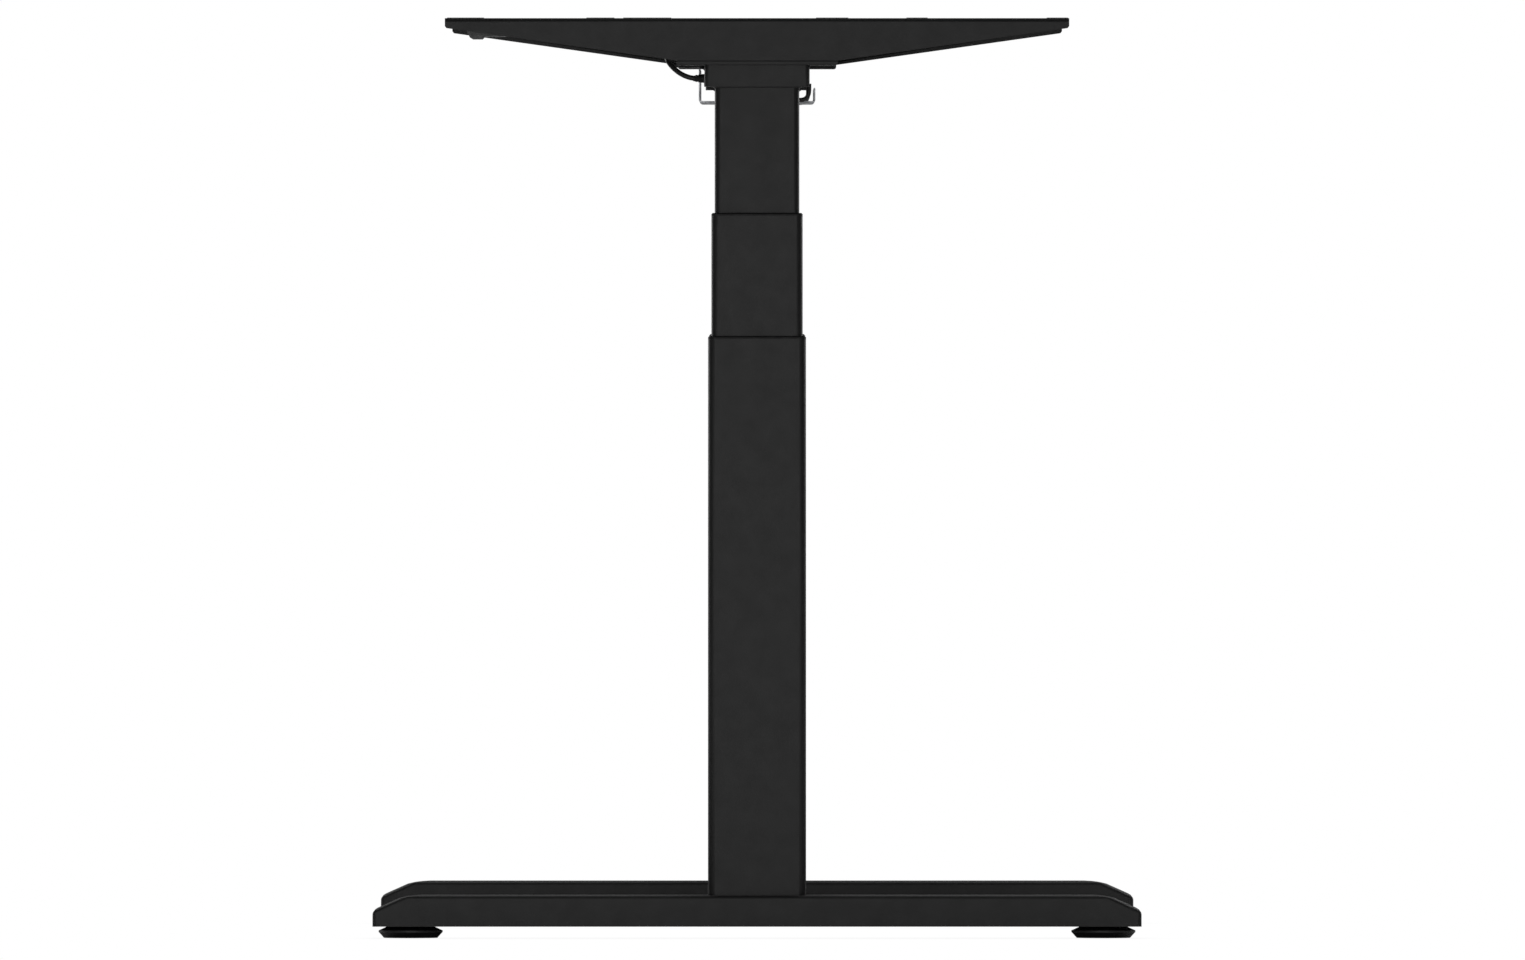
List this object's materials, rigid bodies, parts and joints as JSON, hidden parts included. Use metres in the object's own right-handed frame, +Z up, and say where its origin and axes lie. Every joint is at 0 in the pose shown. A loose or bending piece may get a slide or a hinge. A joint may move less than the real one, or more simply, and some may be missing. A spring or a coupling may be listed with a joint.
{
  "type": "height adjustable standing desk frame",
  "caption": "Standing desk frame without its top: motorised telescopic legs on long feet, joined by a telescoping crossbeam with tapered side brackets and a handset.",
  "frame": {"origin": "on the floor, midway between the two legs and on the columns' centre line", "axes": "+X along the desk to the user's right, -Y towards the user, +Z up"},
  "size_m": [1, 0.69, 0.826],
  "materials": {
    "frame_paint": "satin black powder coat",
    "collar_plastic": "moulded black nylon",
    "glide_plastic": "moulded black plastic with a rubber sole",
    "galvanised_steel": "dull zinc coating on sheet",
    "zinc": "bright zinc plate",
    "machined_steel": "turned and greased",
    "nylon": "natural nylon",
    "cast_alloy": "as cast",
    "motor_black": "smooth black enamel",
    "pad_rubber": "foam rubber",
    "box_plastic": "fine spark-eroded texture",
    "handset_plastic": "satin with a glossy face",
    "button_plastic": "soft-touch",
    "cable_black": "PVC sheath"
  },
  "bodies": {
    "base_left": {"foot_left": "frame_paint", "outer_column_left": "frame_paint", "column_bolts_left": "zinc", "base_screw_left": "machined_steel", "outer_collar_left": "collar_plastic"},
    "mid_left": {"mid_tube_left": "frame_paint", "mid_slides_left": "collar_plastic"},
    "top_left": {"inner_tube_left": "frame_paint", "inner_slides_left": "nylon", "stage_nut_left": "nylon", "head_box_left": "frame_paint", "head_plate_left": "frame_paint", "gearbox_left": "cast_alloy", "motor_left": "motor_black", "motor_lead_left": "cable_black", "side_bracket_left": "frame_paint", "head_screws_left": "zinc", "desk_pads_left": "pad_rubber", "end_rails_left": "frame_paint"},
    "hollow_drive_left": {"hollow_screw_left": "machined_steel"},
    "shaft_drive_left": {"drive_shaft_left": "machined_steel"},
    "worm_drive_left": {"worm_left": "machined_steel"},
    "glide_front_left": {"glide_front_left": "glide_plastic"},
    "glide_rear_left": {"glide_rear_left": "glide_plastic"},
    "base_right": {"foot_right": "frame_paint", "outer_column_right": "frame_paint", "column_bolts_right": "zinc", "base_screw_right": "machined_steel", "outer_collar_right": "collar_plastic"},
    "mid_right": {"mid_tube_right": "frame_paint", "mid_slides_right": "collar_plastic"},
    "top_right": {"inner_tube_right": "frame_paint", "inner_slides_right": "nylon", "stage_nut_right": "nylon", "head_box_right": "frame_paint", "head_plate_right": "frame_paint", "gearbox_right": "cast_alloy", "motor_right": "motor_black", "motor_lead_right": "cable_black", "side_bracket_right": "frame_paint", "head_screws_right": "zinc", "desk_pads_right": "pad_rubber", "end_rails_right": "frame_paint", "handset_bracket": "frame_paint", "handset_shell": "handset_plastic", "motor_cable": "cable_black"},
    "hollow_drive_right": {"hollow_screw_right": "machined_steel"},
    "shaft_drive_right": {"drive_shaft_right": "machined_steel"},
    "worm_drive_right": {"worm_right": "machined_steel"},
    "glide_front_right": {"glide_front_right": "glide_plastic"},
    "glide_rear_right": {"glide_rear_right": "glide_plastic"},
    "crossbeam": {"centre_rails": "frame_paint", "tray_hangers": "frame_paint", "cable_tray": "galvanised_steel", "control_box": "box_plastic", "clamp_screws": "zinc"},
    "key_up": {"button_up": "button_plastic"},
    "key_down": {"button_down": "button_plastic"},
    "key_memory_1": {"button_memory_1": "button_plastic"},
    "key_memory_2": {"button_memory_2": "button_plastic"}
  },
  "joints": [
    {"name": "lift", "type": "slide", "parent": "base_left", "child": "top_left", "axis": [0, 0, 1], "range_m": [-0.206, 0.444]},
    {"name": "middle_stage_left", "type": "slide", "parent": "base_left", "child": "mid_left", "axis": [0, 0, 1], "range_m": [-0.103, 0.222]},
    {"name": "hollow_screw_turn_left", "type": "hinge", "parent": "mid_left", "child": "hollow_drive_left", "pos_m": [-0.455, 0, 0.36], "axis": [0, 0, 1], "range_deg": [-4636, 9991]},
    {"name": "drive_shaft_turn_left", "type": "hinge", "parent": "top_left", "child": "shaft_drive_left", "pos_m": [-0.455, 0, 0.7755], "axis": [0, 0, 1], "range_deg": [-4636, 9991]},
    {"name": "worm_turn_left", "type": "hinge", "parent": "top_left", "child": "worm_drive_left", "pos_m": [-0.455, -0.02, 0.7755], "axis": [1, 0, 0], "range_deg": [-92701, 199801]},
    {"name": "width_left", "type": "slide", "parent": "top_left", "child": "crossbeam", "axis": [1, 0, 0], "range_m": [0, 0.3]},
    {"name": "width_right", "type": "slide", "parent": "crossbeam", "child": "top_right", "axis": [1, 0, 0], "range_m": [0, 0.3], "deforming": ["motor_cable"]},
    {"name": "lift_right", "type": "slide", "parent": "top_right", "child": "base_right", "axis": [0, 0, -1], "range_m": [-0.206, 0.444]},
    {"name": "middle_stage_right", "type": "slide", "parent": "top_right", "child": "mid_right", "axis": [0, 0, -1], "range_m": [-0.103, 0.222]},
    {"name": "hollow_screw_turn_right", "type": "hinge", "parent": "mid_right", "child": "hollow_drive_right", "pos_m": [0.455, 0, 0.36], "axis": [0, 0, -1], "range_deg": [-4636, 9991]},
    {"name": "drive_shaft_turn_right", "type": "hinge", "parent": "top_right", "child": "shaft_drive_right", "pos_m": [0.455, 0, 0.7755], "axis": [0, 0, -1], "range_deg": [-4636, 9991]},
    {"name": "worm_turn_right", "type": "hinge", "parent": "top_right", "child": "worm_drive_right", "pos_m": [0.455, -0.02, 0.7755], "axis": [1, 0, 0], "range_deg": [-92701, 199801]},
    {"name": "glide_front_left_level", "type": "slide", "parent": "base_left", "child": "glide_front_left", "axis": [0, 0, -1], "range_m": [0, 0.012]},
    {"name": "glide_rear_left_level", "type": "slide", "parent": "base_left", "child": "glide_rear_left", "axis": [0, 0, -1], "range_m": [0, 0.012]},
    {"name": "glide_front_right_level", "type": "slide", "parent": "base_right", "child": "glide_front_right", "axis": [0, 0, -1], "range_m": [0, 0.012]},
    {"name": "glide_rear_right_level", "type": "slide", "parent": "base_right", "child": "glide_rear_right", "axis": [0, 0, -1], "range_m": [0, 0.012]},
    {"name": "press_up", "type": "slide", "parent": "top_right", "child": "key_up", "axis": [0, 0.8944, 0.4472], "range_m": [0, 0.0008], "stiffness_N_per_m": 1500},
    {"name": "press_down", "type": "slide", "parent": "top_right", "child": "key_down", "axis": [0, 0.8944, 0.4472], "range_m": [0, 0.0008], "stiffness_N_per_m": 1500},
    {"name": "press_memory_1", "type": "slide", "parent": "top_right", "child": "key_memory_1", "axis": [0, 0.8944, 0.4472], "range_m": [0, 0.0008], "stiffness_N_per_m": 1500},
    {"name": "press_memory_2", "type": "slide", "parent": "top_right", "child": "key_memory_2", "axis": [0, 0.8944, 0.4472], "range_m": [0, 0.0008], "stiffness_N_per_m": 1500}
  ],
  "couplings": [
    {"joint": "middle_stage_left", "follows": "lift", "ratio": 0.5},
    {"joint": "hollow_screw_turn_left", "follows": "lift", "rad_per_m": 392.7},
    {"joint": "drive_shaft_turn_left", "follows": "lift", "rad_per_m": 392.7},
    {"joint": "worm_turn_left", "follows": "lift", "rad_per_m": 7854},
    {"joint": "lift_right", "follows": "lift", "ratio": 1},
    {"joint": "middle_stage_right", "follows": "lift", "ratio": 0.5},
    {"joint": "hollow_screw_turn_right", "follows": "lift", "rad_per_m": 392.7},
    {"joint": "drive_shaft_turn_right", "follows": "lift", "rad_per_m": 392.7},
    {"joint": "worm_turn_right", "follows": "lift", "rad_per_m": 7854}
  ]
}
